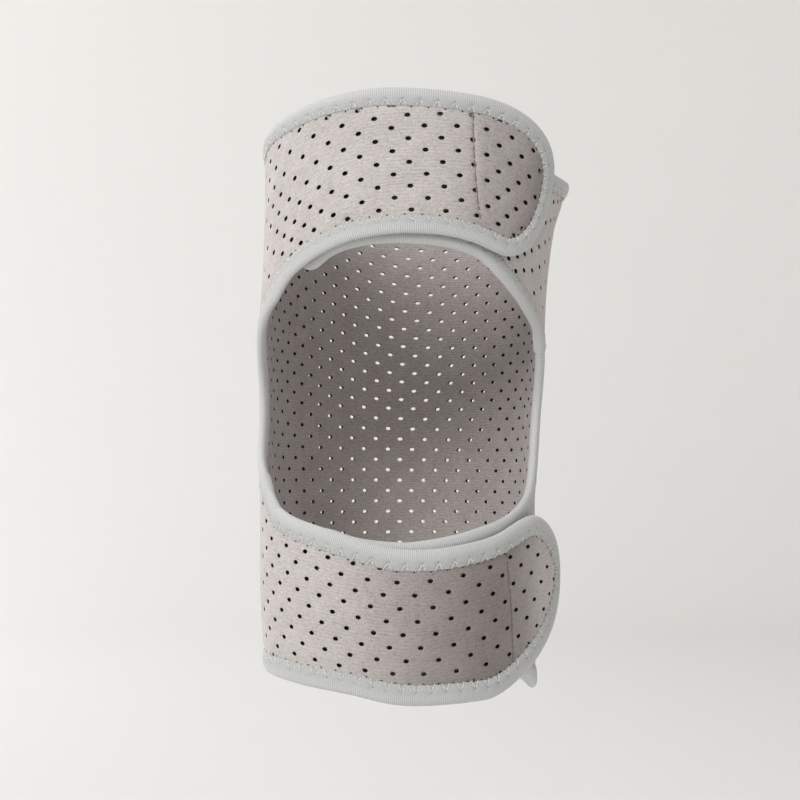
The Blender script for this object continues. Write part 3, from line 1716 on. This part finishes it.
@dataclass
class Studio:
    """Pale floor swept up into a backdrop, soft light from the left front, and a level camera at the front."""

    paint: StudioPaint = StudioPaint("matt_white_emulsion", 0.9)
    lights: tuple[SoftLight, ...] = (
        SoftLight("key_soft", (-1.3, -1.65, 1.4), (0, 0, 0), size=1.2, watts=41),
        SoftLight("fill_soft", (1.8, -1.2, 0.7), (0, 0, 0), size=1.2, watts=3.4),
        SoftLight("top_soft", (-0.2, 0.3, 1.9), (0, 0, 0), size=1.6, watts=9),
        SoftLight("backdrop_wash", (-2.0, 1.5, 1.5), (-0.9, 2.9, -0.3), size=1.2, watts=34),
    )
    air_colour: str = "#fbf8f5"
    air_strength: float = 0.31
    camera_distance: float = 1000.0
    frame_width: float = 336.0
    sideways: float = -0.84
    sensor_width: float = 36.0
    clip_metres: Row = (0.05, 20.0)
    floor_drop: float = 330.0
    floor_middle: float = 10.0
    floor_radius: float = 2400.0
    floor_sides: int = 96
    sweep_radius: float = 900.0
    sweep_steps: int = 16
    wall_height: float = 2600.0

    def floor(self) -> None:
        """The floor and backdrop: a round floor that sweeps up by a quarter circle into a wall, turned all round."""
        sweep = np.linspace(0, math.pi / 2, self.sweep_steps)
        curve = self.floor_radius + self.sweep_radius * np.sin(sweep)
        reach = np.concatenate([[self.floor_middle], curve, [self.floor_radius + self.sweep_radius]])
        height = np.concatenate([[0.0], self.sweep_radius * (1 - np.cos(sweep)), [self.wall_height]])
        turn = np.linspace(0, math.tau, self.floor_sides, endpoint=False)
        x, y = reach[:, None] * np.cos(turn), reach[:, None] * np.sin(turn)
        z = np.repeat((height - self.floor_drop)[:, None], len(turn), axis=1)
        points = np.stack([x, y, z], axis=2).reshape(-1, 3)
        rings = np.arange(len(points)).reshape(len(reach), len(turn))
        mesh = bpy.data.meshes.new("floor")
        mesh.from_pydata(points * MM, [], [rings[0].tolist(), *quads(rings, closed=True)[:, ::-1].tolist()])
        mesh.polygons.foreach_set("use_smooth", np.ones(len(mesh.polygons), bool))
        mesh.materials.append(self.paint.build())
        floor = bpy.data.objects.new("floor", mesh)
        bpy.context.scene.collection.objects.link(floor)

    def camera(self) -> None:
        """A level camera at the photograph's distance, with its field of view from the frame's width there."""
        lens = bpy.data.cameras.new("front_camera")
        lens.sensor_width = self.sensor_width
        lens.lens = self.sensor_width * self.camera_distance / self.frame_width
        lens.clip_start, lens.clip_end = self.clip_metres
        holder = bpy.data.objects.new("front_camera", lens)
        holder.location = (self.sideways * MM, -self.camera_distance * MM, 0.0)
        holder.rotation_euler = (math.pi / 2, 0.0, 0.0)
        bpy.context.scene.collection.objects.link(holder)
        bpy.context.scene.camera = holder

    def build(self) -> None:
        """Sets up the whole studio."""
        self.floor()
        for light in self.lights:
            light.build()
        world = bpy.data.worlds.new("studio_air")
        world.use_nodes = True
        air = world.node_tree.nodes["Background"]
        air.inputs["Color"].default_value = linear(self.air_colour)
        air.inputs["Strength"].default_value = self.air_strength
        bpy.context.scene.world = world
        bpy.context.scene.view_settings.view_transform = "Standard"
        self.camera()


def main() -> None:
    """Builds the pieces in order, then the studio."""
    logging.basicConfig(level=logging.INFO, format="%(message)s")
    sheet = WrapSheet().build()
    stitching = Stitching()
    tape, hooks = BINDING.finish.build(), HookTape("woven_hook_tape", 0.7).build()
    thread, dark_thread, pits = stitching.thread.build(), stitching.dark_thread.build(), stitching.pits.build()
    on_sheet = [BINDING.build(run, tape) for run in Run]
    on_sheet += [stitching.zigzag(run, [thread, pits]) for run in Run]
    on_sheet += [
        stitching.tab_seam(seam, f"tab_seam_{run.value}", dark_thread) for run, seam in zip(Run, TAB_SEAMS)
    ]
    on_sheet += [patch.build(hooks) for patch in HOOK_PATCHES]
    Studio().build()


if __name__ == "__main__":
    main()
